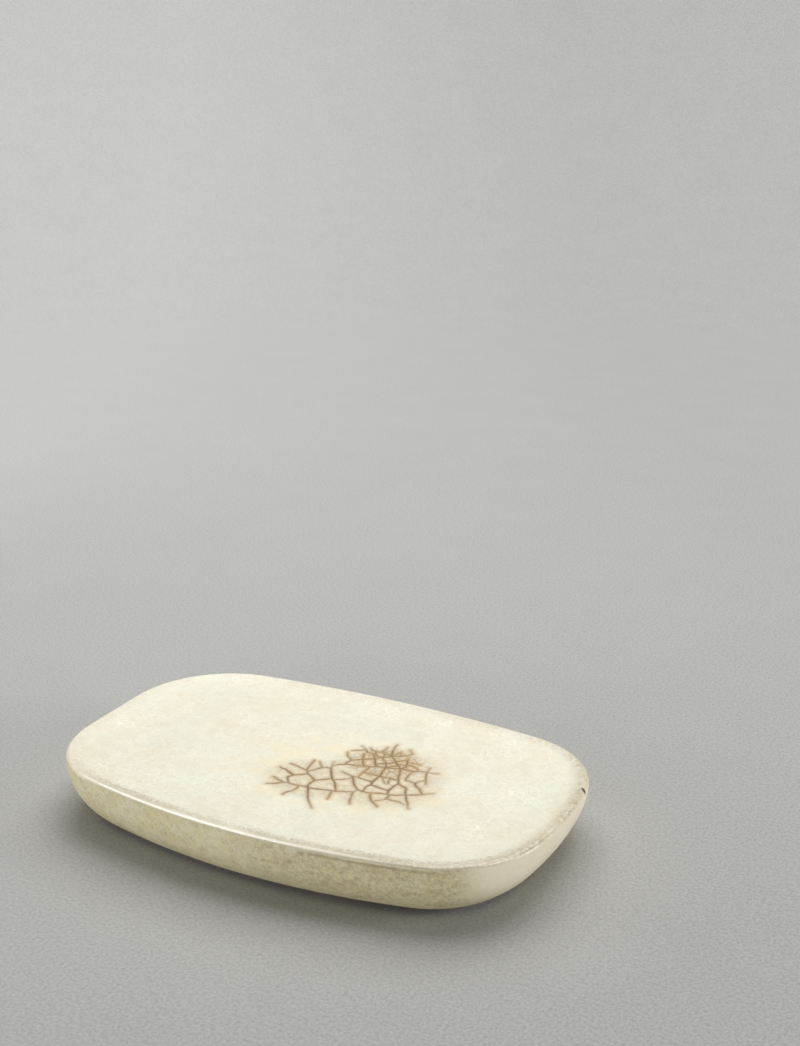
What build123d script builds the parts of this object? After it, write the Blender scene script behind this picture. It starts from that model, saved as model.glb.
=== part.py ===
from build123d import *
import os
from math import acos, asin, atan2, cos, degrees, radians, sin, sqrt

# Ceramic ink stone: a slab of fired clay with a dished grinding face, under one even coat
# of crackled glaze. The walls curl under like a pebble to a low bare foot ring, and the
# shallow recess inside the ring is glazed too. Nothing on it moves.
# The origin is the centre of the stone's box at table height. +X runs along the length
# and -Y is the front, the long side that bows out most.

# Overall sizes
length = 180.0
width = 111.2
rim_height = 22.0

# Plan outline: how far each side bows out of line, and the radius of each corner
front_bow = 13.7
right_bow = 7.6
back_bow = 8.1
left_bow = 1.1
front_left_radius = 35.0
front_right_radius = 38.0
back_right_radius = 34.0
back_left_radius = 38.5

# Wall: upright under the rim, turned in by curl_turn degrees where it would meet the table
curl_turn = 66.0
side_undercut = 10.7
end_undercut = 15.6
rim_radius = 1.7

# Grinding face: a steeper lip inside the rim, a gentle margin, then a broad ground hollow
lip_width = 3.0
lip_drop = 0.6
margin_width = 10.0
margin_drop = 1.0
hollow_length = 104.0
hollow_width = 60.0
hollow_depth = 0.7
hollow_x = 13.0
hollow_y = -4.0

# Glaze: thickness of the coat, where the coat stops above the table, and the base's glaze
glaze_thickness = 0.8
glaze_line_height = 2.2
base_glaze_thickness = 0.5

# Foot ring: how far it stands down and in from the wall, its land, bevels and recess
foot_height = 1.5
foot_step = 1.6
foot_width = 6.5
foot_bevel = 0.5
recess_depth = 1.6

cut_overrun = 5.0

# Level bands that the wall's turn, and the quarter turn over the rim, are divided into
wall_bands = 5
rim_bands = 3

half_length = length / 2
half_width = width / 2
wall_top = rim_height - rim_radius
full_turn = radians(curl_turn)
wall_drop = wall_top / sin(full_turn)


def bow_radius(chord, bow):
    """Radius of the arc that rises by bow over a chord."""
    return (chord**2 / 4 + bow**2) / (2 * bow)


def side_circle(start, end, bow):
    """Centre and radius of the circle through two corners that bows out by bow."""
    chord = end - start
    radius = bow_radius(chord.length, bow)
    outward = Vector(chord.Y, -chord.X).normalized()
    return (start + end) / 2 + outward * (bow - radius), radius


def corner_centre(before, after, radius, corner):
    """Centre of the arc that rounds a corner and is tangent to the circles of its sides."""
    (centre_a, radius_a), (centre_b, radius_b) = before, after
    reach_a, reach_b = radius_a - radius, radius_b - radius
    between = centre_b - centre_a
    along = (reach_a**2 - reach_b**2 + between.length**2) / (2 * between.length)
    across = sqrt(reach_a**2 - along**2)
    axis = between.normalized()
    normal = Vector(-axis.Y, axis.X)
    choices = [centre_a + axis * along + normal * side * across for side in (1, -1)]
    return min(choices, key=lambda centre: (centre - corner).length)


def touch_point(circle, centre):
    """Where a side's circle touches the corner arc that has this centre."""
    side_centre, side_radius = circle
    return side_centre + (centre - side_centre).normalized() * side_radius


def short_arc(start, end, centre):
    """The arc from start to end, less than a half turn, on the circle about centre."""
    radius = (start - centre).length
    middle = centre + ((start + end) / 2 - centre).normalized() * radius
    return ThreePointArc(start, middle, end)


def outline(height, side_inset, end_inset):
    """The plan outline at a height, drawn in from the rim's: four bowed sides, four corners."""
    left = left_bow + end_inset - half_length
    right = half_length - right_bow - end_inset
    front = front_bow + side_inset - half_width
    back = half_width - back_bow - side_inset
    corners = [Vector(left, front), Vector(right, front), Vector(right, back), Vector(left, back)]
    bows = [front_bow, right_bow, back_bow, left_bow]
    radii = [front_left_radius, front_right_radius, back_right_radius, back_left_radius]
    circles = [side_circle(corners[i - 4], corners[i - 3], bows[i]) for i in range(4)]
    centres = []
    for i in range(4):
        radius = radii[i] - side_inset
        centres.append(corner_centre(circles[i - 1], circles[i], radius, corners[i]))
    arcs = []
    for i in range(4):
        corner_start = touch_point(circles[i - 1], centres[i])
        corner_end = touch_point(circles[i], centres[i])
        side_end = touch_point(circles[i], centres[i - 3])
        arcs.append(short_arc(corner_start, corner_end, centres[i]))
        arcs.append(short_arc(corner_end, side_end, circles[i][0]))
    return Pos(0, 0, height) * Wire(arcs)


def wall_insets(turn, skin):
    """How far the wall lies inside the rim's outline, at its long sides and at its ends.

    A skin is taken off square to the wall, which is a quarter of an ellipse in section.
    """
    insets = []
    for undercut in (side_undercut, end_undercut):
        reach = undercut / (1 - cos(full_turn))
        slope = reach / wall_drop * sin(turn) / cos(turn)
        insets.append(reach * (1 - cos(turn)) + skin * sqrt(1 + slope**2))
    return insets


foot_turn = asin((wall_top - foot_height) / wall_drop)


def wall_section(share, skin):
    """A level section of the wall, from the foot's top, at a share of 0, to the rim, at 1."""
    turn = (1 - share) * foot_turn
    return outline(wall_top - wall_drop * sin(turn), *wall_insets(turn, skin))


def rim_section(share, skin):
    """A level section of the rounded rim, from the wall's top, at 0, to its own top, at 1."""
    turn = radians(90) * share
    round_radius = rim_radius - skin
    inset = skin + round_radius * (1 - cos(turn))
    return outline(wall_top + round_radius * sin(turn), inset, inset)


def sloping_cut(face, drop, run):
    """What a slope removes under a level face, when it falls by drop over a run inwards."""
    return extrude(face, drop, dir=(0, 0, -1), taper=degrees(atan2(run, drop)))


def lowest_face(solid):
    return solid.faces().sort_by(Axis.Z)[0]


def hollow_cut(floor_height):
    """A barrel-shaped bowl, curved both ways, sunk into a level floor.

    It stands a little out of the floor, so that only its curved face crosses it.
    """
    headroom = hollow_depth / 10
    section_top = 2 * headroom
    tall = hollow_depth + section_top
    cross_radius = bow_radius(hollow_width, hollow_depth)
    long_radius = bow_radius(hollow_length, hollow_depth)
    reach = sqrt(tall * (2 * cross_radius - tall))
    ends = Vector(0, -reach, section_top), Vector(0, reach, section_top)
    arc = ThreePointArc(ends[0], (0, 0, -hollow_depth), ends[1])
    section = make_face([arc, Line(*ends)])
    axis = Axis((0, 0, long_radius - hollow_depth), (0, 1, 0))
    turn = 2 * degrees(acos((long_radius - tall) / long_radius))
    bowl = revolve(section, axis, turn).rotate(axis, -turn / 2)
    bowl = split(bowl, Plane.XY.offset(headroom), Keep.BOTTOM)
    return Pos(hollow_x, hollow_y, floor_height) * bowl


def stone_form(skin):
    """The stone above its foot ring, smaller all over by a skin."""
    wall_lines = [wall_section(i / wall_bands, skin) for i in range(wall_bands + 1)]
    rim_lines = [rim_section(i / rim_bands, skin) for i in range(rim_bands + 1)]
    wall = Solid.make_loft(wall_lines, ruled=True)
    rim = Solid.make_loft(rim_lines, ruled=True)
    lip = sloping_cut(Face(rim_lines[-1]), lip_drop, lip_width)
    margin = sloping_cut(lowest_face(lip), margin_drop, margin_width)
    hollow = hollow_cut(rim_height - skin - lip_drop - margin_drop)
    return wall + rim - lip - margin - hollow


def foot_outline(inset):
    """An outline on the table, drawn in by an inset from the bare clay at the foot's top."""
    side_inset, end_inset = wall_insets(foot_turn, glaze_thickness)
    return outline(0, side_inset + inset, end_inset + inset)


def level_plate(wire, bottom, thickness):
    """A plate of even thickness over a plan outline."""
    return Pos(0, 0, bottom) * Solid.extrude(Face(wire), Vector(0, 0, thickness))


recess_outline = foot_outline(foot_step + foot_width)


def make_clay_body():
    """Fired clay: the slab under the glaze, its bare foot ring and the recess inside it."""
    foot = level_plate(foot_outline(foot_step), 0, foot_height)
    recess = level_plate(recess_outline, -cut_overrun, cut_overrun + recess_depth)
    body = stone_form(glaze_thickness) + foot - recess
    land_edges = body.edges().group_by(Axis.Z)[0]
    return body.chamfer(foot_bevel, None, land_edges)


def make_glaze_coat():
    """One skin of glaze over the grinding face, the rim and the walls, bare at the foot."""
    room = cut_overrun * 2
    below_line = Box(length + room, width + room, glaze_line_height + cut_overrun)
    below_line = Pos(0, 0, (glaze_line_height - cut_overrun) / 2) * below_line
    return stone_form(0) - below_line - stone_form(glaze_thickness)


def make_base_glaze():
    """The thinner glaze on the floor of the recess, clear of the table."""
    bottom = recess_depth - base_glaze_thickness
    return level_plate(recess_outline, bottom, base_glaze_thickness)


os.makedirs("parts", exist_ok=True)
export_step(make_clay_body(), "parts/clay_body.step")
export_step(make_glaze_coat(), "parts/glaze_coat.step")
export_step(make_base_glaze(), "parts/base_glaze.step")
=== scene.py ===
"""Dresses the ink stone: crackled glaze over fired clay, on a plain pale stage."""

from math import atan2, cos, log, pi, radians, sin, sqrt

import bpy
from bpy.props import FloatProperty, FloatVectorProperty, IntProperty, PointerProperty
from mathutils import Euler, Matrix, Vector


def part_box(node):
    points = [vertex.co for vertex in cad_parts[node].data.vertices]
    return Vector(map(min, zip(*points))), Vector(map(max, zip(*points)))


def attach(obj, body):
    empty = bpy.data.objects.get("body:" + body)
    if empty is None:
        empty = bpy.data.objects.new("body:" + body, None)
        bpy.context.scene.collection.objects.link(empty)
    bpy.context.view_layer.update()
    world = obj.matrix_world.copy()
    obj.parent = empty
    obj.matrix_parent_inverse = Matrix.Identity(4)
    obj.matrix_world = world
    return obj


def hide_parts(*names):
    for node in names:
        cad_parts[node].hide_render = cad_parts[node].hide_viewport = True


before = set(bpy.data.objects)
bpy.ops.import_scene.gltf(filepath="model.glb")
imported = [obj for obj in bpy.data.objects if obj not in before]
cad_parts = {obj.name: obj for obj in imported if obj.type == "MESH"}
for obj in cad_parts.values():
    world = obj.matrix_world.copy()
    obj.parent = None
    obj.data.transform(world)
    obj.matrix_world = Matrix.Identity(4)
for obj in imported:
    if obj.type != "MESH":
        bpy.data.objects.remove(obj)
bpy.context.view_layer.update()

bl_info = {
    "name": "Crackled Ink Stone",
    "version": (1, 0, 0),
    "blender": (4, 5, 0),
    "location": "3D View > Sidebar > Ink Stone",
    "description": "Glazes an ink stone around its frame and sets it on a pale stage",
    "category": "Add Mesh",
}

MM = 0.001
GLAZE_LOW, GLAZE_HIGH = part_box("glaze_coat")
CLAY_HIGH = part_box("clay_body")[1]


def length_property(name, description, default):
    return FloatProperty(name=name, description=description, default=default,
                         subtype="DISTANCE", unit="LENGTH", precision=4)


def angle_property(name, description, default):
    return FloatProperty(name=name, description=description, default=default,
                         subtype="ANGLE", unit="ROTATION")


def count_property(name, description, default):
    return IntProperty(name=name, description=description, default=default, min=2)


def colour_property(name, description, default):
    return FloatVectorProperty(name=name, description=description, default=default,
                               size=3, min=0.0, max=1.0, subtype="COLOR")


class StoneForm(bpy.types.PropertyGroup):
    """Sizes of the stone that the glaze coat follows."""

    length: length_property("Length", "Length over the rim", 180.0 * MM)
    width: length_property("Width", "Width over the rim", 111.2 * MM)
    front_bow: length_property("Front bow", "How far the front side bows out", 13.7 * MM)
    right_bow: length_property("Right bow", "How far the right end bows out", 7.6 * MM)
    back_bow: length_property("Back bow", "How far the back side bows out", 8.1 * MM)
    left_bow: length_property("Left bow", "How far the left end bows out", 1.1 * MM)
    front_left_radius: length_property("Front left corner", "Radius of that corner", 35.0 * MM)
    front_right_radius: length_property("Front right corner", "Radius of that corner", 38.0 * MM)
    back_right_radius: length_property("Back right corner", "Radius of that corner", 34.0 * MM)
    back_left_radius: length_property("Back left corner", "Radius of that corner", 38.5 * MM)


class CoatForm(bpy.types.PropertyGroup):
    """Sizes that the glaze coat's rule takes."""

    rim_height: length_property("Rim height", "Height of the rim", GLAZE_HIGH.z)
    glaze_line: length_property("Glaze line", "Where the coat stops above the table", GLAZE_LOW.z)
    thickness: length_property("Thickness", "Thickness of the coat", GLAZE_HIGH.z - CLAY_HIGH.z)
    rim_radius: length_property("Rim radius", "Radius of the worn rim", 1.7 * MM)
    curl: angle_property("Wall curl", "How far the wall turns in by the table", radians(66))
    side_undercut: length_property("Side undercut", "How far the long sides curl in", 10.7 * MM)
    end_undercut: length_property("End undercut", "How far the ends curl in", 15.6 * MM)
    end_reach: length_property("End reach", "From the middle to where the ends turn", 53.6 * MM)
    dish_drop: length_property("Dish drop", "Fall from the rim to the dish's floor", 1.6 * MM)
    dish_ease: length_property("Dish ease", "How far inside the rim the dish levels out", 6.0 * MM)
    hollow_length: length_property("Hollow length", "Length of the ground hollow", 104.0 * MM)
    hollow_width: length_property("Hollow width", "Width of the ground hollow", 60.0 * MM)
    hollow_depth: length_property("Hollow depth", "Depth of the ground hollow", 0.7 * MM)
    hollow_x: length_property("Hollow X", "Place of the hollow along the stone", 13.0 * MM)
    hollow_y: length_property("Hollow Y", "Place of the hollow across the stone", -4.0 * MM)
    hand_waver: length_property("Hand waver", "How unevenly the coat lies", 0.35 * MM)
    line_waver: length_property("Line waver", "How unevenly its lower edge runs", 0.7 * MM)
    points_around: count_property("Points around", "Points in each ring", 464)
    edge_rings: count_property("Edge rings", "Rings round the coat's lower edge", 4)
    wall_rings: count_property("Wall rings", "Rings up the wall", 22)
    rim_rings: count_property("Rim rings", "Rings over the rim", 10)
    dish_rings: count_property("Dish rings", "Rings across the dish", 40)


class StoneFinish(bpy.types.PropertyGroup):
    """Colours of the glazes and of the bare clay."""

    ivory: colour_property("Ivory", "Glaze on the grinding face", (0.83, 0.788, 0.622))
    ivory_cool: colour_property("Cool ivory", "Paler clouds in the glaze", (0.81, 0.808, 0.662))
    ivory_warm: colour_property("Warm ivory", "Warm clouds in the glaze", (0.82, 0.745, 0.548))
    olive: colour_property("Olive", "Thicker glaze down the walls", (0.87, 0.78, 0.47))
    olive_pale: colour_property("Pale olive", "Paler clouds in the walls", (0.92, 0.87, 0.62))
    # Painted light: a lighter olive for the walls' lower part, also laid darker and yellower low
    # on the right end
    olive_low_painted_light: colour_property("Low olive", "Painted light and shade low on the walls", (0.95, 0.86, 0.52))
    web: colour_property("Web", "Pale crackle lines in the walls", (0.95, 0.91, 0.70))
    thread: colour_property("Thread", "Whitish threads in the crackle", (0.95, 0.93, 0.81))
    mottle: colour_property("Mottle", "Dull spots in the walls", (0.42, 0.32, 0.17))
    rust: colour_property("Rust", "Iron-stained spots in the walls", (0.66, 0.47, 0.20))
    # Partly painted light: the right end is painted paler where it faces the right lamp
    cream_and_painted_light: colour_property("Cream", "Thin pale glaze on the right end", (0.97, 0.89, 0.71))
    rim_wash: colour_property("Rim wash", "Dull wash inside the rim", (0.62, 0.53, 0.37))
    rim_shade: colour_property("Rim shade", "Thin glaze just inside the rim", (0.33, 0.25, 0.12))
    residue: colour_property("Residue", "Dried ink at the lip's foot", (0.22, 0.17, 0.11))
    ink: colour_property("Ink", "Ink soaked into the crackle", (0.155, 0.078, 0.004))
    ink_fringe: colour_property("Ink fringe", "Ink's brown edge", (0.56, 0.37, 0.15))
    ink_wash: colour_property("Ink wash", "Ink's wash between the lines", (0.52, 0.40, 0.24))
    ink_rust: colour_property("Ink halo", "Yellowed glaze around the stain", (0.88, 0.76, 0.48))
    # Partly painted shade: the chip's pit is too small in the mesh to shade itself
    chip: colour_property("Chip", "Dark fleck in the chipped rim", (0.03, 0.027, 0.018))
    clay: colour_property("Clay", "Bare fired clay", (0.24, 0.135, 0.08))
    clay_burn: colour_property("Clay burn", "Iron-dark clay", (0.10, 0.055, 0.035))
    base: colour_property("Base glaze", "Thin glaze under the base", (0.60, 0.55, 0.40))


class StageSetup(bpy.types.PropertyGroup):
    """The floor, the light and the camera."""

    floor: colour_property("Floor", "Colour of the floor around the stone", (0.475, 0.473, 0.453))
    backdrop: colour_property("Backdrop", "Colour of the lit backdrop", (0.622, 0.625, 0.610))
    focal_length: FloatProperty(name="Focal length", description="Focal length in millimetres",
                                default=51.6, min=10.0)
    camera_place: FloatVectorProperty(name="Camera place", description="Where the camera stands",
                                      default=(0.2392, -0.4020, 0.2595), size=3,
                                      subtype="TRANSLATION", unit="LENGTH", precision=4)
    camera_pitch: angle_property("Camera pitch", "How far the camera looks down", radians(18))
    camera_turn: angle_property("Camera turn", "The camera's turn about the upright",
                                radians(27.46))


VECTOR_RESULTS_IN_VALUE = {"DOT_PRODUCT", "LENGTH"}


class Wire:
    """A socket of a node tree that takes part in plain arithmetic."""

    def __init__(self, board, socket):
        self.board = board
        self.socket = socket

    @property
    def is_vector(self):
        return self.socket.type in {"VECTOR", "RGBA"}

    def __add__(self, other):
        return self.board.sum("ADD", self, other)

    def __radd__(self, other):
        return self.board.sum("ADD", other, self)

    def __sub__(self, other):
        return self.board.sum("SUBTRACT", self, other)

    def __rsub__(self, other):
        return self.board.sum("SUBTRACT", other, self)

    def __mul__(self, other):
        return self.board.sum("MULTIPLY", self, other)

    def __truediv__(self, other):
        return self.board.sum("DIVIDE", self, other)

    def __pow__(self, other):
        return self.board.sum("POWER", self, other)

    def __abs__(self):
        return self.board.sum("ABSOLUTE", self)

    def clamped(self):
        return self.board.sum("ADD", self, 0.0, clamp=True)

    def at_least(self, other):
        return self.board.sum("MAXIMUM", self, other)

    def at_most(self, other):
        return self.board.sum("MINIMUM", self, other)

    def ramp(self, low, high):
        """0 at low, 1 at high and beyond, and smooth between. low may be the larger."""
        made = self.board.add("ShaderNodeMapRange", {"interpolation_type": "SMOOTHSTEP"},
                              {"Value": self, "From Min": low, "From Max": high})
        return made["Result"]


class Outputs:
    """The outputs of one node, by name or by number, as wires."""

    def __init__(self, board, node):
        self.board = board
        self.node = node

    def __getitem__(self, key):
        return Wire(self.board, self.node.outputs[key])


class Board:
    """A node tree that is filled one call at a time."""

    def __init__(self, tree):
        self.tree = tree

    def add(self, kind, settings=None, sockets=None):
        """Adds a node: its settings first, then the values or links of its sockets."""
        node = self.tree.nodes.new(kind)
        for name, value in (settings or {}).items():
            setattr(node, name, value)
        for key, value in (sockets or {}).items():
            self.feed(node.inputs[key], value)
        return Outputs(self, node)

    def feed(self, socket, value):
        if isinstance(value, Wire):
            self.tree.links.new(value.socket, socket)
        elif socket.type == "RGBA":
            socket.default_value = tuple(value)[:3] + (1.0,)
        elif socket.type == "VECTOR" and isinstance(value, (int, float)):
            socket.default_value = (value,) * 3
        else:
            socket.default_value = value

    def sum(self, operation, *values, clamp=False):
        """One maths node on wires, numbers and vectors. Any vector makes it vector maths."""
        vector = any(isinstance(v, (tuple, Vector)) or getattr(v, "is_vector", False)
                     for v in values)
        kind = "ShaderNodeVectorMath" if vector else "ShaderNodeMath"
        settings = {"operation": operation}
        if clamp:
            settings["use_clamp"] = True
        made = self.add(kind, settings, dict(enumerate(values)))
        return made["Value" if operation in VECTOR_RESULTS_IN_VALUE else 0]

    def dot(self, first, second):
        return self.sum("DOT_PRODUCT", first, second)

    def join(self, x, y, z):
        return self.add("ShaderNodeCombineXYZ", None, {"X": x, "Y": y, "Z": z})[0]

    def split(self, vector):
        made = self.add("ShaderNodeSeparateXYZ", None, {"Vector": vector})
        return made["X"], made["Y"], made["Z"]

    def noise(self, place, scale, detail=2.0, rough=0.5, output=0):
        """Soft cloudy noise from 0 to 1, or as a colour where the output is 1."""
        made = self.add("ShaderNodeTexNoise", None,
                        {"Vector": place, "Scale": scale, "Detail": detail, "Roughness": rough})
        return made[output]

    def cell_edge(self, place, scale):
        """Distance to the nearest edge of a net of cells."""
        made = self.add("ShaderNodeTexVoronoi", {"feature": "DISTANCE_TO_EDGE"},
                        {"Vector": place, "Scale": scale})
        return made["Distance"]

    def cell_shade(self, place, scale):
        """A number from 0 to 1 for each cell of the same net."""
        made = self.add("ShaderNodeTexVoronoi", {"feature": "F1"},
                        {"Vector": place, "Scale": scale})
        return self.split(made["Color"])[0]

    def blend(self, factor, first, second):
        """A surface that goes from the first shader node to the second by a factor."""
        made = self.add("ShaderNodeMixShader", None, {0: factor})
        self.tree.links.new(first.outputs[0], made.node.inputs[1])
        self.tree.links.new(second.outputs[0], made.node.inputs[2])
        surface = self.tree.nodes["Material Output"].inputs["Surface"]
        self.tree.links.new(made.node.outputs[0], surface)

    def mix(self, factor, first, second):
        """The second colour laid over the first by a factor."""
        made = self.add("ShaderNodeMix", {"data_type": "RGBA"}, {0: factor, 6: first, 7: second})
        return made[2]

    def layered(self, colour, *layers):
        """A colour with other colours laid over it in turn, each by its own factor."""
        for factor, over in layers:
            colour = self.mix(factor, colour, over)
        return colour


def new_material(name):
    """An empty material with a principled shader, its board and the shader's node."""
    material = bpy.data.materials.new(name)
    material.use_nodes = True
    board = Board(material.node_tree)
    shader = material.node_tree.nodes["Principled BSDF"]
    return material, board, shader


def place_in_mm(board):
    """The surface's own coordinates, in millimetres."""
    return board.add("ShaderNodeTexCoord")["Object"] * (1 / MM)


def bump(board, height, strength, distance_mm):
    """A normal that makes a height look like relief of this depth."""
    made = board.add("ShaderNodeBump", None, {"Height": height, "Strength": strength,
                                              "Distance": distance_mm * MM})
    return made["Normal"]


def put_in_scene(name, data):
    """A new object in the scene."""
    made = bpy.data.objects.new(name, data)
    bpy.context.scene.collection.objects.link(made)
    return made


# The outline of the stone, seen from above

def side_circle(start, end, bow):
    """Centre and radius of the circle through two corners that bows out by bow."""
    chord = end - start
    radius = (chord.length**2 / 4 + bow**2) / (2 * bow)
    outward = Vector((chord.y, -chord.x)).normalized()
    return (start + end) / 2 + outward * (bow - radius), radius


def corner_centre(before, after, radius, corner):
    """Centre of the arc that rounds a corner and is tangent to the circles of its sides."""
    (centre_a, radius_a), (centre_b, radius_b) = before, after
    reach_a, reach_b = radius_a - radius, radius_b - radius
    between = centre_b - centre_a
    along = (reach_a**2 - reach_b**2 + between.length**2) / (2 * between.length)
    across = sqrt(reach_a**2 - along**2)
    axis = between.normalized()
    normal = Vector((-axis.y, axis.x))
    choices = [centre_a + axis * along + normal * side * across for side in (1, -1)]
    return min(choices, key=lambda centre: (centre - corner).length)


def arc_points(start, end, centre, count):
    """Points along the short arc from start to end, without the end."""
    spoke, last = start - centre, end - centre
    first_angle = atan2(spoke.y, spoke.x)
    turn = (atan2(last.y, last.x) - first_angle + pi) % (2 * pi) - pi
    angles = [first_angle + turn * i / count for i in range(count)]
    return [centre + Vector((cos(a), sin(a))) * spoke.length for a in angles]


def rim_outline(form, points_per_arc):
    """The rim's outline in plan: four bowed sides and four rounded corners."""
    half_length, half_width = form.length / 2, form.width / 2
    left, right = form.left_bow - half_length, half_length - form.right_bow
    front, back = form.front_bow - half_width, half_width - form.back_bow
    corners = [Vector(c) for c in ((left, front), (right, front), (right, back), (left, back))]
    bows = [form.front_bow, form.right_bow, form.back_bow, form.left_bow]
    radii = [form.front_left_radius, form.front_right_radius, form.back_right_radius,
             form.back_left_radius]
    circles = [side_circle(corners[i - 4], corners[i - 3], bows[i]) for i in range(4)]
    centres = [corner_centre(circles[i - 1], circles[i], radii[i], corners[i]) for i in range(4)]

    def touch(circle, centre):
        return circle[0] + (centre - circle[0]).normalized() * circle[1]

    points = []
    for i in range(4):
        corner_start = touch(circles[i - 1], centres[i])
        corner_end = touch(circles[i], centres[i])
        side_end = touch(circles[i], centres[i - 3])
        points += arc_points(corner_start, corner_end, centres[i], points_per_arc)
        points += arc_points(corner_end, side_end, circles[i][0], points_per_arc)
    return points


def outline_object(form, points_per_arc=60):
    """The rim's outline as a closed loop of edges at table height."""
    points = [tuple(p) + (0.0,) for p in rim_outline(form, points_per_arc)]
    count = len(points)
    mesh = bpy.data.meshes.new("rim_outline")
    mesh.from_pydata(points, [(i, (i + 1) % count) for i in range(count)], [])
    return put_in_scene("glaze_coat_skin", mesh)


# The glaze coat's rule: its section, carried round the outline

SOCKET_KINDS = {"FLOAT": "NodeSocketFloat", "INT": "NodeSocketInt"}
DISH_SPACING = 1.4
BOWL_ROUNDNESS = 1.5
CLOUDS_PER_METRE = 22.0
LINE_WAVES_PER_METRE = 45.0
WELD_GAP = 0.005 * MM


def coat_properties():
    return [p for p in CoatForm.bl_rna.properties if p.identifier in CoatForm.__annotations__]


def wall_inset(board, undercut, size, turn, skin, wall_drop):
    """How far a wall that curls in by undercut lies inside the rim's outline."""
    reach = undercut / (1 - board.sum("COSINE", size["curl"]))
    slope = reach / wall_drop * board.sum("TANGENT", turn)
    square_on = board.sum("SQRT", slope * slope + 1)
    return reach * (1 - board.sum("COSINE", turn)) + skin * square_on


def coat_tree():
    """A tree that sweeps the coat's closed section round the rim's outline.

    A grid's rows run from the middle of the dish's buried face out over the rim and down
    the wall, round the coat's lower edge, and back up its shown face to the middle.
    """
    tree = bpy.data.node_groups.new("Glaze coat", "GeometryNodeTree")
    new_socket = tree.interface.new_socket
    new_socket("Rim outline", in_out="INPUT", socket_type="NodeSocketGeometry")
    for prop in coat_properties():
        new_socket(prop.name, in_out="INPUT", socket_type=SOCKET_KINDS[prop.type])
    new_socket("Glaze", in_out="INPUT", socket_type="NodeSocketMaterial")
    new_socket("Glaze coat", in_out="OUTPUT", socket_type="NodeSocketGeometry")
    board = Board(tree)
    given = board.add("NodeGroupInput")
    size = {p.identifier: given[p.name] for p in coat_properties()}

    rings = [size[part + "_rings"] for part in ("edge", "wall", "rim", "dish")]
    half_rows = rings[0] + rings[1] + rings[2] + rings[3]
    rows = half_rows * 2 + 1
    grid = board.add("GeometryNodeMeshGrid", None, {
        "Size X": 1.0, "Size Y": 1.0, "Vertices X": size["points_around"] + 1,
        "Vertices Y": rows})
    grid_x, grid_y, _ = board.split(board.add("GeometryNodeInputPosition")[0])
    step = (grid_y + 0.5) * (rows - 1) - half_rows
    face = board.sum("SIGN", step)
    left = abs(step)
    shares = []
    for count in rings:
        shares.append((left / count).clamped())
        left = left - count
    edge_share, wall_share, rim_share, dish_share = shares

    curve = board.add("GeometryNodeMeshToCurve", None, {"Mesh": given["Rim outline"]})
    ridge = board.add("GeometryNodeSampleCurve", {"mode": "FACTOR"},
                      {"Curves": curve["Curve"], "Factor": grid_x + 0.5})
    outward = board.sum("NORMALIZE", board.sum("CROSS_PRODUCT", ridge["Tangent"], (0, 0, 1)))

    swing = edge_share * (pi / 2)
    half_skin = size["thickness"] / 2
    skin = half_skin * (1 - face * board.sum("SINE", swing))
    dip = half_skin * board.sum("COSINE", swing)
    line_wave = board.noise(ridge["Position"], LINE_WAVES_PER_METRE)
    line_height = size["glaze_line"] + half_skin + size["line_waver"] * line_wave

    wall_top = size["rim_height"] - size["rim_radius"]
    wall_drop = wall_top / board.sum("SINE", size["curl"])
    line_turn = board.sum("ARCSINE", (wall_top - line_height) / wall_drop)
    turn = line_turn * (1 - wall_share)
    down = wall_drop * board.sum("SINE", turn)
    side_inset = wall_inset(board, size["side_undercut"], size, turn, skin, wall_drop)
    end_inset = wall_inset(board, size["end_undercut"], size, turn, skin, wall_drop)

    over = rim_share * (pi / 2)
    round_radius = size["rim_radius"] - skin
    over_in = round_radius * (1 - board.sum("COSINE", over))
    rise = wall_top - down - dip + round_radius * board.sum("SINE", over)

    line_x, line_y, _ = board.split(ridge["Position"] - outward * (side_inset + over_in))
    end_side = (line_x / size["end_reach"]).at_least(-1.0).at_most(1.0)
    line = board.join(line_x - (end_inset - side_inset) * end_side, line_y, 0.0)

    spot = line * (1 - dish_share ** DISH_SPACING)
    inward = board.dot(line - spot, outward)
    ease = board.sum("EXPONENT", inward / size["dish_ease"] * -1.0)
    spot_x, spot_y, _ = board.split(spot)
    along = (spot_x - size["hollow_x"]) / (size["hollow_length"] / 2)
    across = (spot_y - size["hollow_y"]) / (size["hollow_width"] / 2)
    bowl = (1 - along * along - across * across).at_least(0.0) ** BOWL_ROUNDNESS
    sunk = size["dish_drop"] * (1 - ease) + size["hollow_depth"] * bowl

    shown = 1 - skin / size["thickness"]
    cloud = board.noise(spot, CLOUDS_PER_METRE)
    facing = outward * (1 - rim_share) + board.join(0.0, 0.0, rim_share)
    place = board.join(spot_x, spot_y, rise - sunk)
    place = place - facing * (shown * size["hand_waver"] * cloud)
    from_rim = inward + (over - pi / 4) * size["rim_radius"] - down

    marking = {"data_type": "FLOAT", "domain": "POINT"}
    shape = grid["Mesh"]
    for kind, settings, sockets in (
            ("StoreNamedAttribute", marking, {"Name": "from_rim", "Value": from_rim}),
            ("SetPosition", None, {"Position": place}),
            ("MergeByDistance", None, {"Distance": WELD_GAP}),
            ("SetShadeSmooth", None, {}),
            ("RealizeInstances", None, {}),
            ("SetMaterial", None, {"Material": given["Glaze"]})):
        made = board.add("GeometryNode" + kind, settings, {"Geometry": shape} | sockets)
        shape = made["Geometry"]
    board.add("NodeGroupOutput", None, {"Glaze coat": shape})
    return tree


def give_inputs(modifier, values):
    """Sets a tree's inputs on its modifier, by their identifiers."""
    for item in modifier.node_group.interface.items_tree:
        if item.in_out == "INPUT" and item.name in values:
            modifier[item.identifier] = values[item.name]


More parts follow.
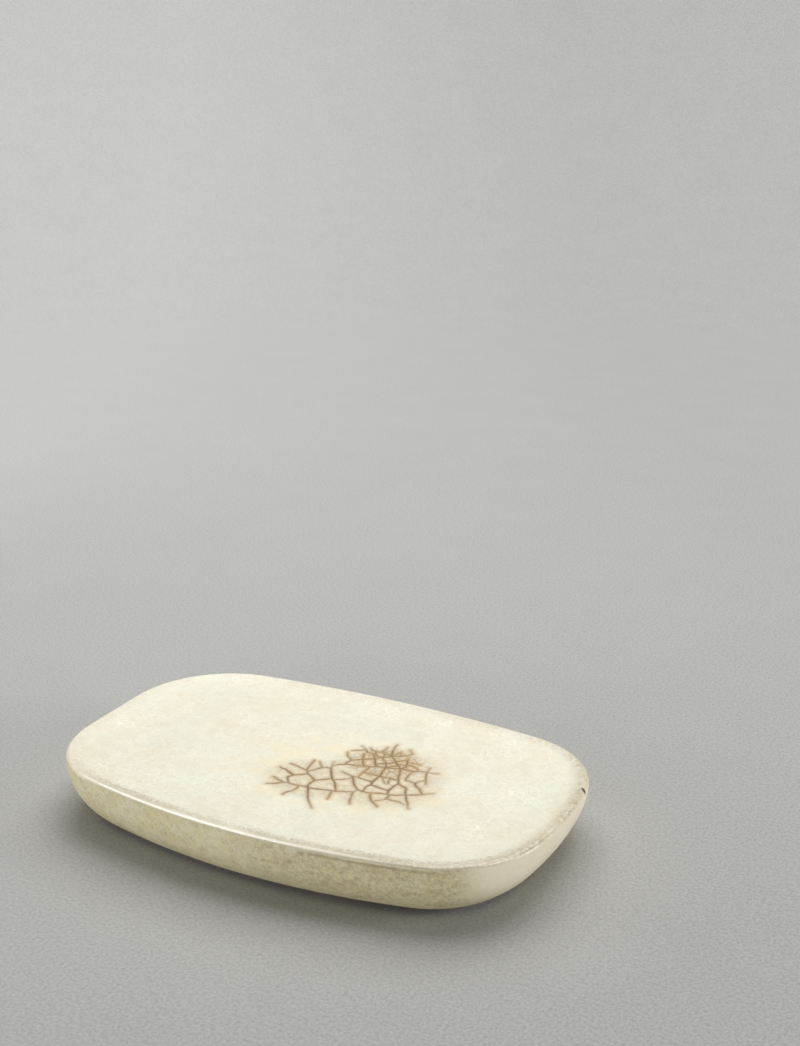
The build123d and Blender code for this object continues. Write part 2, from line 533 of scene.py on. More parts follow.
def make_plain(piece):
    """Turns a piece with a live modifier into a plain mesh."""
    depsgraph = bpy.context.evaluated_depsgraph_get()
    evaluated = piece.evaluated_get(depsgraph)
    mesh = bpy.data.meshes.new_from_object(evaluated, preserve_all_data_layers=True,
                                           depsgraph=depsgraph)
    piece.modifiers.clear()
    piece.data = mesh


# The ink-stained crackle: each line is a row of turning points in millimetres, x, y and
# how strongly the ink shows there. All were read off a plan with a millimetre grid

INK_LINES = (
    ((2.2, 4.2, 0.1), (3.8, -0.5, 0.8), (5.5, -3.2, 1.0), (7.6, -6.6, 0.95), (9.3, -8.0, 0.9),
     (11.0, -10.3, 0.8), (13.3, -14.0, 0.7)),
    ((-4.4, 2.3, 0.3), (-3.9, -0.8, 0.7), (-3.2, -4.8, 0.75), (-1.2, -7.5, 0.75),
     (1.5, -9.4, 0.7), (3.2, -10.3, 0.8), (2.8, -12.6, 0.75), (2.8, -14.6, 0.85),
     (4.0, -16.2, 1.0), (6.2, -20.2, 0.75), (8.2, -23.2, 0.6), (9.8, -25.3, 0.5),
     (12.6, -28.3, 0.15)),
    ((4.0, -16.2, 1.0), (7.0, -15.5, 0.8), (9.5, -14.8, 0.75), (12.0, -14.2, 0.7),
     (15.0, -13.2, 0.4), (18.6, -11.9, 0.4)),
    ((3.2, -10.3, 0.7), (5.2, -8.8, 0.6), (7.3, -6.9, 0.5)),
    ((-10.5, -4.0, 0.4), (-7.5, -4.3, 0.55), (-5.0, -5.0, 0.6), (-3.2, -5.3, 0.6)),
    ((-12.3, -7.6, 0.35), (-11.2, -8.3, 0.75), (-9.5, -8.4, 0.8), (-7.5, -9.5, 0.85),
     (-5.2, -10.7, 0.8), (-6.0, -12.6, 0.95), (-5.3, -14.3, 1.0), (-3.8, -16.4, 0.8)),
    ((-5.2, -10.7, 0.6), (-3.6, -9.3, 0.6), (-1.5, -7.4, 0.55)),
    ((-10.4, -14.9, 0.35), (-8.0, -16.0, 0.5), (-5.5, -16.7, 0.75), (-3.8, -16.4, 0.6),
     (-1.0, -16.7, 0.45), (0.3, -16.4, 0.65), (2.3, -15.9, 0.55), (4.0, -16.2, 0.8)),
    ((-5.6, -16.8, 0.6), (-7.3, -19.0, 0.6), (-9.6, -20.5, 0.4)),
    ((0.3, -16.4, 0.7), (0.9, -18.3, 0.6), (0.2, -21.0, 0.45), (-0.7, -22.2, 0.6),
     (-0.9, -24.6, 0.45)),
    ((12.0, -14.2, 0.6), (12.8, -17.0, 0.5), (13.8, -20.2, 0.25)),
    ((-2.2, -6.0, 0.6), (-1.0, -4.0, 0.5), (0.4, -1.8, 0.7), (2.0, -0.6, 0.8), (3.8, -0.5, 0.8)),
    ((-2.3, 2.2, 0.15), (-0.4, 0.1, 0.4), (0.7, -1.3, 0.5)),
    ((3.6, 2.0, 0.35), (5.3, 3.6, 0.45), (7.0, 4.6, 0.75), (10.0, 5.2, 0.6), (13.0, 6.1, 0.65),
     (14.9, 6.6, 0.6), (17.1, 7.6, 0.8)),
    ((3.0, 12.6, 0.2), (4.2, 10.2, 0.45), (5.8, 9.0, 0.55), (7.1, 7.9, 0.75), (6.4, 6.1, 0.65),
     (6.6, 4.6, 0.75)),
    ((7.1, 7.9, 0.6), (9.0, 9.4, 0.5), (10.5, 10.4, 0.8), (12.5, 11.6, 0.75), (14.1, 12.3, 1.0)),
    ((8.9, 14.0, 0.55), (10.3, 10.4, 0.85), (11.5, 8.3, 0.8), (13.0, 6.1, 0.85)),
    ((5.6, 18.6, 0.15), (8.0, 16.8, 0.6), (9.7, 15.3, 0.6), (12.0, 15.5, 0.45)),
    ((3.8, 14.3, 0.25), (6.0, 15.4, 0.45), (8.0, 16.8, 0.5)),
    ((12.3, 17.2, 0.4), (11.8, 15.3, 0.7), (13.2, 13.6, 0.85), (14.2, 12.2, 1.0),
     (15.4, 10.0, 1.0), (17.1, 7.6, 1.0)),
    ((16.4, 25.2, 0.15), (16.4, 22.6, 0.45), (17.2, 20.0, 0.85), (18.0, 17.7, 0.95),
     (18.6, 16.4, 1.0), (20.0, 15.3, 0.85), (21.4, 13.7, 1.0), (22.8, 12.2, 0.9),
     (24.1, 11.3, 0.85), (25.3, 9.9, 1.0)),
    ((14.0, 21.8, 0.3), (14.0, 19.4, 0.45), (13.7, 18.0, 0.5), (12.2, 16.8, 0.3)),
    ((13.8, 18.5, 0.45), (16.2, 17.5, 0.5), (18.5, 16.6, 0.85), (20.5, 17.5, 0.55),
     (23.1, 19.1, 0.45)),
    ((12.2, 15.8, 0.5), (14.3, 14.3, 0.6), (15.9, 14.5, 0.75), (18.4, 16.3, 0.7)),
    ((14.2, 12.3, 0.7), (15.2, 13.6, 0.75), (15.9, 14.5, 0.7)),
    ((16.6, 9.6, 0.7), (17.6, 10.4, 0.65), (19.3, 11.3, 0.8), (21.0, 12.5, 0.8),
     (21.6, 13.5, 0.85)),
    ((19.0, 11.2, 0.7), (19.9, 9.5, 0.85), (20.4, 8.3, 0.9)),
    ((17.1, 7.6, 0.9), (18.8, 8.1, 0.7), (20.4, 8.3, 0.9), (23.0, 9.1, 0.75), (25.3, 9.9, 1.0),
     (27.5, 10.1, 0.75), (30.2, 10.2, 0.6), (32.0, 11.0, 0.45), (34.6, 11.6, 0.4),
     (38.6, 12.0, 0.1)),
    ((25.3, 9.9, 1.0), (26.5, 6.8, 0.75), (27.6, 4.0, 0.8), (28.6, 2.1, 0.8), (29.8, 0.0, 0.85)),
    ((30.2, 10.2, 0.55), (30.0, 7.5, 0.5), (30.2, 4.6, 0.55), (30.8, 3.3, 0.55),
     (32.6, 3.3, 0.35), (34.5, 3.0, 0.8)),
    ((24.5, 17.6, 0.3), (25.0, 15.6, 0.8), (26.1, 13.1, 0.9), (26.7, 11.6, 0.5),
     (25.6, 10.2, 0.8)),
    ((34.3, 14.6, 0.15), (34.7, 11.8, 0.5), (35.8, 8.6, 0.65), (36.9, 6.1, 0.7),
     (38.0, 3.7, 0.45)),
    ((36.9, 6.1, 0.5), (35.3, 4.9, 0.5), (34.5, 3.0, 0.95), (35.7, 1.2, 0.8), (37.5, 0.1, 0.65),
     (38.9, -1.4, 0.6), (40.0, -2.9, 0.5)),
    ((20.4, 8.3, 0.95), (20.6, 6.0, 0.85), (21.2, 3.2, 0.95), (21.3, 0.5, 0.9),
     (21.1, -1.9, 0.95), (21.5, -4.5, 1.0), (20.9, -6.2, 0.75), (21.1, -8.4, 0.7),
     (21.5, -10.0, 0.9)),
    ((14.9, 6.6, 0.6), (15.2, 4.3, 0.6), (15.1, 2.2, 0.45), (15.0, -0.5, 0.4), (15.2, -1.9, 0.45)),
    ((15.1, 2.2, 0.45), (18.0, 2.1, 0.45), (21.3, 2.2, 0.85), (23.1, 2.1, 0.7), (25.4, 2.5, 0.75),
     (28.6, 2.1, 0.6)),
    ((25.4, 2.5, 0.7), (25.7, 0.3, 0.75), (26.4, -1.2, 0.6)),
    ((22.8, 1.6, 0.3), (24.2, -0.3, 0.45), (25.2, -1.6, 0.5)),
    ((8.4, -0.8, 0.25), (12.7, -1.8, 0.6), (16.0, -2.0, 0.5), (19.0, -2.3, 0.6),
     (21.1, -2.4, 0.8)),
    ((12.7, -1.8, 0.85), (13.9, -3.0, 0.9), (15.6, -5.7, 0.75), (17.2, -7.8, 0.8),
     (19.3, -9.6, 0.75), (21.5, -10.0, 0.9), (24.3, -9.9, 0.5), (25.2, -12.0, 0.6),
     (27.0, -14.3, 0.75), (28.6, -15.5, 0.65), (30.9, -17.3, 0.3)),
    ((8.6, -6.9, 0.5), (11.0, -5.8, 0.35), (13.6, -3.2, 0.5)),
    ((21.5, -4.5, 0.95), (24.0, -4.8, 0.75), (26.5, -5.4, 0.75), (28.8, -5.5, 0.95)),
    ((29.8, 0.0, 0.9), (29.0, -1.6, 0.8), (28.8, -3.4, 0.8), (28.8, -5.5, 1.0),
     (29.4, -7.4, 0.7), (30.5, -9.0, 0.65), (30.5, -11.4, 0.45)),
    ((29.8, 0.0, 0.85), (31.5, -0.8, 0.75), (33.4, -1.6, 0.85), (34.2, -3.6, 0.8),
     (35.2, -5.7, 0.95), (37.0, -8.5, 0.75), (38.3, -10.4, 0.6), (40.6, -14.0, 0.15)),
    ((24.2, -9.4, 0.45), (27.0, -8.5, 0.5), (29.7, -8.1, 0.5), (32.5, -7.2, 0.5),
     (35.2, -5.7, 0.7), (38.0, -4.4, 0.5), (40.0, -3.1, 0.5), (43.2, -0.8, 0.15)),
    ((30.5, -10.6, 0.5), (32.5, -11.1, 0.4), (35.5, -10.9, 0.4), (37.8, -12.0, 0.1)),
    ((28.2, -13.8, 0.35), (30.4, -11.6, 0.3)),
    ((19.3, -9.6, 0.3), (18.6, -11.9, 0.5), (19.8, -14.8, 0.5), (20.6, -17.4, 0.5),
     (21.8, -19.8, 0.2)),
    ((20.0, 21.0, 0.2), (20.6, 19.0, 0.35), (21.6, 17.9, 0.3)),
    ((21.9, 23.6, 0.15), (24.2, 21.3, 0.35), (23.0, 19.1, 0.3)),
    ((26.6, 14.9, 0.3), (28.6, 15.4, 0.3), (30.6, 15.2, 0.1)),
    ((8.8, 18.9, 0.2), (10.4, 17.3, 0.55), (12.3, 17.2, 0.5)),
    ((13.7, 18.0, 0.4), (16.0, 16.3, 0.6), (15.9, 14.5, 0.6), (17.3, 13.0, 0.55),
     (19.2, 11.3, 0.7)),
    ((21.4, 13.7, 0.9), (23.0, 15.0, 0.6), (24.7, 16.6, 0.6)),
    ((22.8, 12.2, 0.8), (24.6, 12.7, 0.5), (26.5, 12.3, 0.6)),
    ((20.4, 8.3, 0.9), (22.0, 10.3, 0.55), (24.1, 11.3, 0.8)),
    ((26.3, 13.0, 0.7), (28.2, 13.4, 0.4), (30.2, 12.5, 0.35), (31.8, 11.0, 0.3)),
    ((18.6, 16.4, 0.8), (19.3, 18.4, 0.5), (20.0, 21.0, 0.25)),
)
LINE_HALF_WIDTH = 0.33
NO_LINE = 60.0

# How fast each part of the stain fades with the squared distance from a line
LINE_FADE = 0.5
FRINGE_FADE = 0.12
HALO_FADE = 0.05

# Ovals of the stain and the rim's chip in millimetres: the centre, then the half sizes.
# The chip's oval is given along and across its own direction in plan
STAIN = ((12.0, -3.0), (55.0, 45.0))
STAIN_AURA = ((12.0, -3.0), (44.0, 34.0))
LEFT_LOBE = ((1.5, -10.5), (19.0, 16.0))
RIGHT_LOBE = ((23.0, 1.5), (25.0, 25.0))
DENSE_LOBE = ((19.0, 11.0), (15.0, 12.5))
CHIP = ((77.9, -45.3), (0.7, 1.5))
CHIP_DIRECTION = (0.72, 0.69)

# Nets of crackle, in cells to the millimetre
FACE_NET = 0.32
WALL_NET = 0.50
WIDE_NET = 0.21
INK_NET = 0.42
BASE_NET = 0.22


def faintness(strength):
    """What to add to a squared distance so that a line shows with this strength."""
    return -log(strength)


def squared_distance(board, east, north):
    """Least squared distance to the ink lines, in half widths, plus the line's faintness.

    Strides are worked out three at a time, one on each axis of a vector.
    """
    strides = [ends for line in INK_LINES for ends in zip(line, line[1:])]
    least = (NO_LINE,) * 3
    for i in range(0, len(strides), 3):
        trio = (strides[i:i + 3] * 3)[:3]
        rows = []
        for (ax, ay, sa), (bx, by, sb) in trio:
            dx, dy = bx - ax, by - ay
            span = sqrt(dx * dx + dy * dy)
            along = (dx / span**2, dy / span**2, -(ax * dx + ay * dy) / span**2)
            unit = span * LINE_HALF_WIDTH
            across = (-dy / unit, dx / unit, (ax * dy - ay * dx) / unit)
            faint = (faintness(sb) - faintness(sa), faintness(sa))
            rows.append(along + across + (span / LINE_HALF_WIDTH,) + faint)
        (along_x, along_y, along_0, across_x, across_y, across_0, spans, faint_1,
         faint_0) = [tuple(column) for column in zip(*rows)]
        run = board.sum("MULTIPLY_ADD", north, along_y, along_0)
        run = board.sum("MULTIPLY_ADD", east, along_x, run)
        off = board.sum("MULTIPLY_ADD", north, across_y, across_0)
        off = board.sum("MULTIPLY_ADD", east, across_x, off)
        held = run.at_least((0.0, 0.0, 0.0)).at_most((1.0, 1.0, 1.0))
        past = (run - held) * spans
        total = board.sum("MULTIPLY_ADD", held, faint_1, faint_0)
        total = board.sum("MULTIPLY_ADD", off, off, total)
        total = board.sum("MULTIPLY_ADD", past, past, total)
        least = total.at_most(least)
    x, y, z = board.split(least)
    return x.at_most(y).at_most(z)


def soft_spot(east, north, oval):
    """1 inside an oval, easing to 0 at its edge."""
    centre, half_sizes = oval
    a = (east - centre[0]) / half_sizes[0]
    b = (north - centre[1]) / half_sizes[1]
    return (a * a + b * b).ramp(1.0, 0.35)


# The materials

def ink_stain(board, finish, place, bare):
    """The bare glaze's colour with the ink's stain laid over it."""
    x, y, _ = board.split(place)
    east, north = board.join(x, x, x), board.join(y, y, y)
    near = squared_distance(board, east, north)
    line = board.sum("EXPONENT", near * -LINE_FADE)
    fringe = board.sum("EXPONENT", near * -FRINGE_FADE)
    halo = board.sum("EXPONENT", near * -HALO_FADE)
    uneven = board.noise(place, 0.35, detail=4.0, rough=0.65).ramp(0.25, 0.75)
    patch = board.noise(place + (9.0, 3.0, 0.0), 0.16, detail=2.0).ramp(0.35, 0.65)
    aura = soft_spot(x, y, STAIN_AURA)
    lobes = soft_spot(x, y, LEFT_LOBE).at_least(soft_spot(x, y, RIGHT_LOBE))
    dense = soft_spot(x, y, DENSE_LOBE)
    fine = board.cell_edge(place, INK_NET).ramp(0.16, 0.0)
    return board.layered(
        bare,
        (aura * (0.08 + patch * 0.42), finish.ink_rust),
        ((lobes * (0.12 + uneven * 0.46) + dense * 0.34).clamped(), finish.ink_wash),
        ((halo * (0.14 + uneven * 0.30)).clamped(), finish.ink_wash),
        (fine * (lobes * 0.12 + dense * 0.45).clamped(), finish.ink),
        ((fringe * (0.48 + patch * 0.40 + dense * 0.5)).clamped(), finish.ink_fringe),
        ((line * (0.84 + uneven * 0.30)).clamped(), finish.ink))


def face_glaze(board, finish, place, bent, grain):
    """Colour of the ivory glaze on the grinding face, and its hairline crackle."""
    cloud = board.noise(place, 0.045, detail=5.0, rough=0.62)
    warm = board.noise(place + (40.0, 15.0, 0.0), 0.06, detail=4.0, rough=0.6).ramp(0.50, 0.70)
    cell = board.cell_shade(bent, FACE_NET)
    hairline = board.cell_edge(bent, FACE_NET).ramp(0.06, 0.0)
    bright_hair = board.noise(place, 0.07, detail=2.0).ramp(0.32, 0.62)
    colour = board.layered(
        finish.ivory,
        (cloud.ramp(0.36, 0.64), finish.ivory_cool),
        (warm * 0.55, finish.ivory_warm),
        (cell * 0.21, finish.rim_wash),
        (grain.ramp(0.40, 0.75) * 0.15, finish.rim_shade),
        (hairline * bright_hair * 0.65, finish.thread),
        (hairline * (1 - bright_hair) * 0.14, finish.rim_shade))
    return colour, hairline


def wall_glaze(board, finish, place, bent, speckle):
    """Colour of the olive glaze down the walls, and the pale web of crackle in it."""
    x, _, z = board.split(place)
    fine_cell = board.cell_shade(bent, WALL_NET)
    web = board.cell_edge(bent, WALL_NET).ramp(0.09, 0.0)
    threads = board.cell_edge(bent + (31.0, 7.0, 5.0), WIDE_NET).ramp(0.045, 0.0)
    spots = board.noise(place, 0.42, detail=5.0, rough=0.72).ramp(0.46, 0.66)
    patches = board.noise(place, 0.075, detail=3.0).ramp(0.38, 0.62)
    rusty = board.noise(place + (0.0, 0.0, 21.0), 0.16, detail=4.0, rough=0.65).ramp(0.54, 0.68)
    brown = x.ramp(-15.0, 25.0) * x.ramp(80.0, 70.0)
    # The right end turns cream: paler glaze without the mottle, and partly painted light where
    # that end faces the right lamp
    cream_and_painted_light = x.ramp(69.0, 81.0)
    # Painted light: the olive walls turn lighter, yellower and less mottled towards the table
    low = z.ramp(9.0, 3.0)
    dull = 0.06 + fine_cell * 0.10 + spots * 0.24 + speckle * 0.30
    colour = board.layered(
        finish.olive,
        (patches * 0.55, finish.olive_pale),
        (low * 0.5, finish.olive_low_painted_light),
        (rusty * 0.35, finish.rust),
        ((spots * 0.24 + fine_cell * 0.16).clamped(), finish.mottle),
        (brown * (1 - low * 0.6) * dull, finish.mottle),
        (web * (0.34 - brown * 0.08), finish.web),
        (threads * (0.6 - brown * 0.38), finish.thread),
        (cream_and_painted_light * (0.86 - speckle * 0.12), finish.cream_and_painted_light),
        # Low on the cream end the same colour lays a darker, yellower tint: partly tint, partly
        # painted shade
        (cream_and_painted_light * z.ramp(13.0, 3.0) * (0.35 + patches * 0.3), finish.olive_low_painted_light))
    return colour, web


def rim_marks(board, finish, place, rim, speckle, colour):
    """The colour with the rim's wash, smudges and dried ink laid over it."""
    x, y, _ = board.split(place)
    around = board.noise(place, 0.03, detail=2.0).ramp(0.38, 0.60)
    front = (x * 0.45 - y).ramp(-35.0, 45.0).at_least(x.ramp(0.0, 84.0) * 0.85)
    front = front * (0.7 + around * 0.4)
    uneven = board.noise(place, 0.22, detail=4.0, rough=0.7)
    spread = rim + (uneven - 0.5) * 5.0
    wash = rim.ramp(-1.6, 0.2) * spread.ramp(8.0, 1.6)
    wash = wash * (0.02 + around * 0.10 + front * 0.28)
    ending = x.ramp(30.0, 70.0)
    smudge = (rim + ending * 1.8).ramp(0.9, 2.1) * spread.ramp(5.8, 0.8)
    smudge = smudge * (0.25 + speckle * 0.75)
    smudge = smudge * (0.02 + around * 0.16 + front * 0.52)
    residue = rim + (uneven - 0.5) * 3.0
    residue = residue.ramp(1.8, 4.0) * residue.ramp(6.2, 4.2)
    broken = board.noise(place, 0.85, detail=4.0, rough=0.7).ramp(0.44, 0.64)
    residue = residue * broken * front * y.ramp(-15.0, -35.0) * 0.45
    under_crest = rim.ramp(-2.2, -1.5) * rim.ramp(-0.4, -1.2) * x.ramp(20.0, 34.0)
    under_crest = under_crest * x.ramp(70.0, 60.0) * y.ramp(-30.0, -40.0) * 0.4
    return board.layered(colour, (wash, finish.rim_wash), (smudge, finish.rim_shade),
                         (residue, finish.residue), (under_crest, finish.rim_shade))


def chip_fleck(board, place, rim):
    """1 in the dark chip on the rim, easing to 0 at its edge. Its near-black colour is dark iron
    and painted shade in a pit too small for the mesh.
    """
    x, y, _ = board.split(place)
    along, across = CHIP_DIRECTION
    turned_x, turned_y = x * along + y * across, y * along - x * across
    return soft_spot(turned_x, turned_y, CHIP) * rim.ramp(-1.6, -0.6)


def glaze_material(finish):
    """Ivory crackled glaze, olive down the walls, thin at the rim, with the ink's stain."""
    material, board, shader = new_material("crackle_glaze_finish")
    place = place_in_mm(board)
    x, y, _ = board.split(place)
    rim = board.add("ShaderNodeAttribute", {"attribute_name": "from_rim"})["Fac"] * (1 / MM)
    wall = rim.ramp(0.4, -0.8)
    wander = board.noise(place, 0.28, detail=3.0, output=1) - (0.5, 0.5, 0.5)
    bent = place + wander * (2.6, 2.6, 2.6)
    grain = board.noise(place, 0.9, detail=4.0, rough=0.7)
    speckle = board.noise(place, 0.8, detail=4.0, rough=0.75).ramp(0.40, 0.62)

    face_colour, hairline = face_glaze(board, finish, place, bent, grain)
    wall_colour, web = wall_glaze(board, finish, place, bent, speckle)
    colour = board.mix(wall, face_colour, wall_colour)
    colour = rim_marks(board, finish, place, rim, speckle, colour)
    # Near-black fleck at the chip: dark iron, and painted shade in the pit that the bump only
    # hints at
    fleck = chip_fleck(board, place, rim)
    colour = board.mix(fleck, colour, finish.chip)

    crest = rim.ramp(-1.6, -0.5) * rim.ramp(1.5, 0.5)
    rough = 0.38 - wall * 0.06 - crest * 0.12 + grain * 0.10
    height = grain * 0.5 - web * wall * 0.5 - hairline * (1 - wall) * 0.4 - fleck * 8.0
    normal = bump(board, height, 0.25, 0.12)
    stained = board.add("ShaderNodeBsdfPrincipled").node
    for surface in (shader, stained):
        board.feed(surface.inputs["Roughness"], rough)
        board.feed(surface.inputs["Normal"], normal)
    board.feed(shader.inputs["Base Color"], colour)
    place_of_ink = place + wander * (0.9, 0.9, 0.0)
    board.feed(stained.inputs["Base Color"], ink_stain(board, finish, place_of_ink, colour))
    board.blend(soft_spot(x, y, STAIN) * 3.0, shader, stained)
    return material


def clay_material(finish):
    """Iron-bearing stoneware, matt and gritty, darker where the fire caught it."""
    material, board, shader = new_material("fired_clay_finish")
    place = place_in_mm(board)
    burn = board.noise(place, 0.08, detail=4.0, rough=0.6).ramp(0.38, 0.66)
    grit = board.noise(place, 1.6, detail=4.0, rough=0.8)
    specks = board.noise(place, 0.9, detail=1.0).ramp(0.66, 0.72)
    colour = board.layered(
        finish.clay, (burn * 0.7, finish.clay_burn),
        (grit.ramp(0.3, 0.8) * 0.35, finish.clay_burn), (specks * 0.5, finish.mottle))
    board.feed(shader.inputs["Base Color"], colour)
    board.feed(shader.inputs["Roughness"], 0.72 + grit * 0.2)
    board.feed(shader.inputs["Normal"], bump(board, grit + specks * 0.4, 0.6, 0.25))
    return material


def base_glaze_material(finish):
    """Thin greyish glaze on the recess, crackled, with iron freckles."""
    material, board, shader = new_material("base_glaze_finish")
    place = place_in_mm(board)
    wander = board.noise(place, 0.2, detail=3.0, output=1) - (0.5, 0.5, 0.5)
    net = board.cell_edge(place + wander * (3.0, 3.0, 0.0), BASE_NET).ramp(0.045, 0.0)
    thin = board.noise(place, 0.05, detail=4.0, rough=0.65).ramp(0.42, 0.7)
    freckles = board.noise(place, 0.7, detail=2.0, rough=0.4).ramp(0.68, 0.74)
    colour = board.layered(finish.base, (thin * 0.55, finish.clay), (net * 0.4, finish.rim_shade),
                           (freckles * 0.7, finish.clay_burn))
    board.feed(shader.inputs["Base Color"], colour)
    board.feed(shader.inputs["Roughness"], 0.34 + thin * 0.25)
    board.feed(shader.inputs["Normal"], bump(board, thin - net * 0.5, 0.3, 0.15))
    return material


def dress_node(node, material):
    """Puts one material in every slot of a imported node."""
    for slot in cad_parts[node].material_slots:
        slot.material = material


# The stage: a round floor that sweeps up into a pale backdrop

FLOOR_RADIUS = 0.95
INNER_RADII = (0.02, 0.3)
SWEEP_RADIUS = 0.55
SWEEP_STEPS = 16
STAGE_SIDES = 96

# In millimetres: how far the painted falloff of light runs to each side, where the backdrop
# begins and is full, and the heights between which the backdrop's painted light dims
SHADING_REACH = 220.0
BACKDROP_REACH = (225.0, 560.0)
BACKDROP_RISE = (60.0, 900.0)


def floor_object(material):
    """A round floor whose edge curves up into a wall."""
    rings = [(radius, 0.0) for radius in INNER_RADII + (FLOOR_RADIUS,)]
    for i in range(1, SWEEP_STEPS + 1):
        turn = i / SWEEP_STEPS * pi / 2
        rings.append((FLOOR_RADIUS + SWEEP_RADIUS * sin(turn), SWEEP_RADIUS * (1 - cos(turn))))
    rings.append((FLOOR_RADIUS + SWEEP_RADIUS, 2 * SWEEP_RADIUS))
    points = [(r * cos(2 * pi * i / STAGE_SIDES), r * sin(2 * pi * i / STAGE_SIDES), z)
              for r, z in rings for i in range(STAGE_SIDES)]
    faces = [tuple(range(STAGE_SIDES))]
    for k in range(len(rings) - 1):
        for i in range(STAGE_SIDES):
            j = (i + 1) % STAGE_SIDES
            first, second = k * STAGE_SIDES, (k + 1) * STAGE_SIDES
            faces.append((first + i, second + i, second + j, first + j))
    mesh = bpy.data.meshes.new("stage_floor")
    mesh.from_pydata(points, [], faces)
    mesh.shade_smooth()
    mesh.materials.append(material)
    return put_in_scene("stage_floor", mesh)


def floor_material(setup):
    """Fine pale grey paper that turns into a glowing backdrop further off, painted as lit paper.
    Painted falloff of light darkens both towards the right, and the backdrop towards the top.

    Only camera, glossy and transmission rays see the backdrop, so it lights nothing else.
    """
    material, board, shader = new_material("pale_floor")
    place = place_in_mm(board)
    x, y, z = board.split(place)
    turn = setup.camera_turn
    # Painted falloff of light: the floor and the backdrop darken towards the right; the grain and
    # blotches below are the paper's own
    sideways = ((x * cos(turn) + y * sin(turn)) / SHADING_REACH).at_least(-1.0).at_most(1.0)
    dimming = 1 - sideways * 0.07
    grain = board.noise(place, 0.9, detail=4.0, rough=0.85).ramp(0.38, 0.64)
    blotches = board.noise(place, 0.03, detail=3.0)
    dimming = dimming - grain * 0.24 - blotches * 0.05
    dimmed = board.join(dimming, dimming, dimming)
    board.feed(shader.inputs["Base Color"], board.sum("MULTIPLY", dimmed, setup.floor))
    shader.inputs["Roughness"].default_value = 0.85
    shader.inputs["Specular IOR Level"].default_value = 0.2

    # Further off the floor shows the glowing backdrop, whose painted light dims towards the top
    far = board.sum("LENGTH", board.join(x, y, 0.0)).ramp(*BACKDROP_REACH)
    lit = board.mix(z.ramp(*BACKDROP_RISE) * 0.11, setup.backdrop, (0.0, 0.0, 0.0)) * dimmed
    glow = board.add("ShaderNodeEmission", None, {"Color": lit}).node
    path = board.add("ShaderNodeLightPath")
    seen = path["Is Camera Ray"].at_least(path["Is Glossy Ray"])
    seen = seen.at_least(path["Is Transmission Ray"])
    board.blend(far * seen, shader, glow)
    return material


def add_softbox(name, place, target, sizes, watts):
    """A rectangular area light that faces a target."""
    light = bpy.data.lights.new(name, "AREA")
    light.shape = "RECTANGLE"
    light.size, light.size_y = sizes
    light.energy = watts
    lamp = put_in_scene(name, light)
    lamp.location = place
    lamp.rotation_euler = (Vector(target) - Vector(place)).to_track_quat("-Z", "Y").to_euler()
    return lamp


LIGHT_DISTANCE = 0.9
LIGHT_TARGET = (0, 0, 0.01)
ROOM_COLOUR = (0.93, 0.95, 1.0, 1.0)
ROOM_STRENGTH = 0.02

# Each lamp's name, direction from the stone, sizes in metres and watts
SOFTBOXES = (
    ("back_softbox", (-0.12, 0.45, 0.9), (0.9, 0.9), 9.55),
    ("front_card", (0.0, -0.95, 0.19), (0.5, 0.26), 2.35),
    ("left_card", (-0.85, -0.3, 0.22), (0.4, 0.26), 1.4),
    ("right_card", (0.86, 0.3, 0.24), (0.4, 0.26), 3.6),
)
# These add shine and nothing else
GLINTS = (
    ("left_glint", (-0.56, -0.15, 0.82), (0.7, 0.34), 11.0),
    ("right_glint", (0.67, 0.08, 0.73), (0.2, 0.2), 5.0),
)


def add_lamps(rows, lights_up):
    """The lamps of one table, which light what they face or else only shine in it."""
    for name, direction, sizes, watts in rows:
        place = Vector(direction).normalized() * LIGHT_DISTANCE
        lamp = add_softbox(name, place, LIGHT_TARGET, sizes, watts)
        lamp.visible_diffuse = lights_up


def light_stage():
    """A broad soft light behind, low cards in front and beside, and two that only shine."""
    add_lamps(SOFTBOXES, True)
    add_lamps(GLINTS, False)
    world = bpy.data.worlds.new("dim_room")
    world.use_nodes = True
    ground = world.node_tree.nodes["Background"]
    ground.inputs["Color"].default_value = ROOM_COLOUR
    ground.inputs["Strength"].default_value = ROOM_STRENGTH
    bpy.context.scene.world = world


def add_camera(setup):
    """The camera where the photograph was taken from."""
    camera = bpy.data.cameras.new("stage_camera")
    camera.lens = setup.focal_length
    camera.clip_start = 0.01
    eye = put_in_scene("stage_camera", camera)
    eye.location = setup.camera_place
    eye.rotation_euler = Euler((pi / 2 - setup.camera_pitch, 0.0, setup.camera_turn))
    bpy.context.scene.camera = eye


# Operators, panel and start

class INKSTONE_OT_glaze_coat(bpy.types.Operator):
    """Sweep the glaze coat round the stone's outline and glaze it"""

    bl_idname = "inkstone.glaze_coat"
    bl_label = "Glaze coat"

    def execute(self, context):
        scene = context.scene
        coat = outline_object(scene.stone_form)
        material = glaze_material(scene.stone_finish)
        modifier = coat.modifiers.new("Glaze coat", "NODES")
        modifier.node_group = coat_tree()
        values = {p.name: getattr(scene.coat_form, p.identifier) for p in coat_properties()}
        give_inputs(modifier, values | {"Glaze": material})
        make_plain(coat)
        if not coat.data.polygons:
            raise RuntimeError("the glaze coat came out empty")
        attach(coat, "root")
        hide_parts("glaze_coat")
        return {"FINISHED"}


class INKSTONE_OT_clay_body(bpy.types.Operator):
    """Finish the clay body as bare fired stoneware"""

    bl_idname = "inkstone.clay_body"
    bl_label = "Clay body"

    def execute(self, context):
        dress_node("clay_body", clay_material(context.scene.stone_finish))
        return {"FINISHED"}


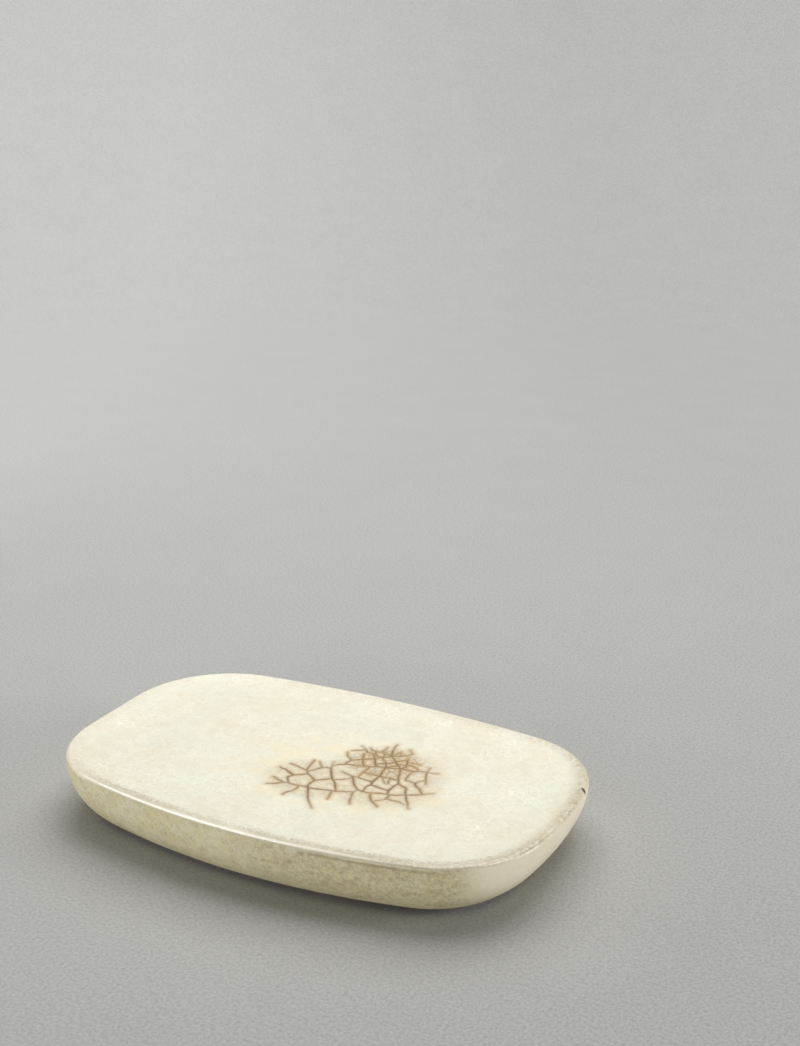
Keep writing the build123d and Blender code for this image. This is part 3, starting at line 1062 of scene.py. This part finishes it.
class INKSTONE_OT_base_glaze(bpy.types.Operator):
    """Finish the thin glaze in the recess under the stone"""

    bl_idname = "inkstone.base_glaze"
    bl_label = "Base glaze"

    def execute(self, context):
        dress_node("base_glaze", base_glaze_material(context.scene.stone_finish))
        return {"FINISHED"}


class INKSTONE_OT_stage(bpy.types.Operator):
    """Set the floor, the soft lights and the camera"""

    bl_idname = "inkstone.stage"
    bl_label = "Stage"

    def execute(self, context):
        setup = context.scene.stage_setup
        floor_object(floor_material(setup))
        light_stage()
        add_camera(setup)
        context.scene.view_settings.view_transform = "Standard"
        return {"FINISHED"}


class INKSTONE_PT_panel(bpy.types.Panel):
    """The stone's sizes and colours, and the steps that make it"""

    bl_idname = "INKSTONE_PT_panel"
    bl_label = "Ink Stone"
    bl_space_type = "VIEW_3D"
    bl_region_type = "UI"
    bl_category = "Ink Stone"

    def draw(self, context):
        scene = context.scene
        for operator in OPERATORS:
            self.layout.operator(operator.bl_idname)
        for group in (scene.stone_form, scene.coat_form, scene.stone_finish, scene.stage_setup):
            column = self.layout.column()
            for name in type(group).__annotations__:
                column.prop(group, name)


OPERATORS = (INKSTONE_OT_glaze_coat, INKSTONE_OT_clay_body, INKSTONE_OT_base_glaze,
             INKSTONE_OT_stage)
GROUPS = {"stone_form": StoneForm, "coat_form": CoatForm, "stone_finish": StoneFinish,
          "stage_setup": StageSetup}


def register():
    for name, group in GROUPS.items():
        bpy.utils.register_class(group)
        setattr(bpy.types.Scene, name, PointerProperty(type=group))
    for cls in OPERATORS + (INKSTONE_PT_panel,):
        bpy.utils.register_class(cls)


def unregister():
    for cls in reversed(OPERATORS + (INKSTONE_PT_panel,)):
        bpy.utils.unregister_class(cls)
    for name, group in GROUPS.items():
        delattr(bpy.types.Scene, name)
        bpy.utils.unregister_class(group)


def main():
    register()
    bpy.ops.inkstone.glaze_coat()
    bpy.ops.inkstone.clay_body()
    bpy.ops.inkstone.base_glaze()
    bpy.ops.inkstone.stage()


if __name__ == "__main__":
    main()
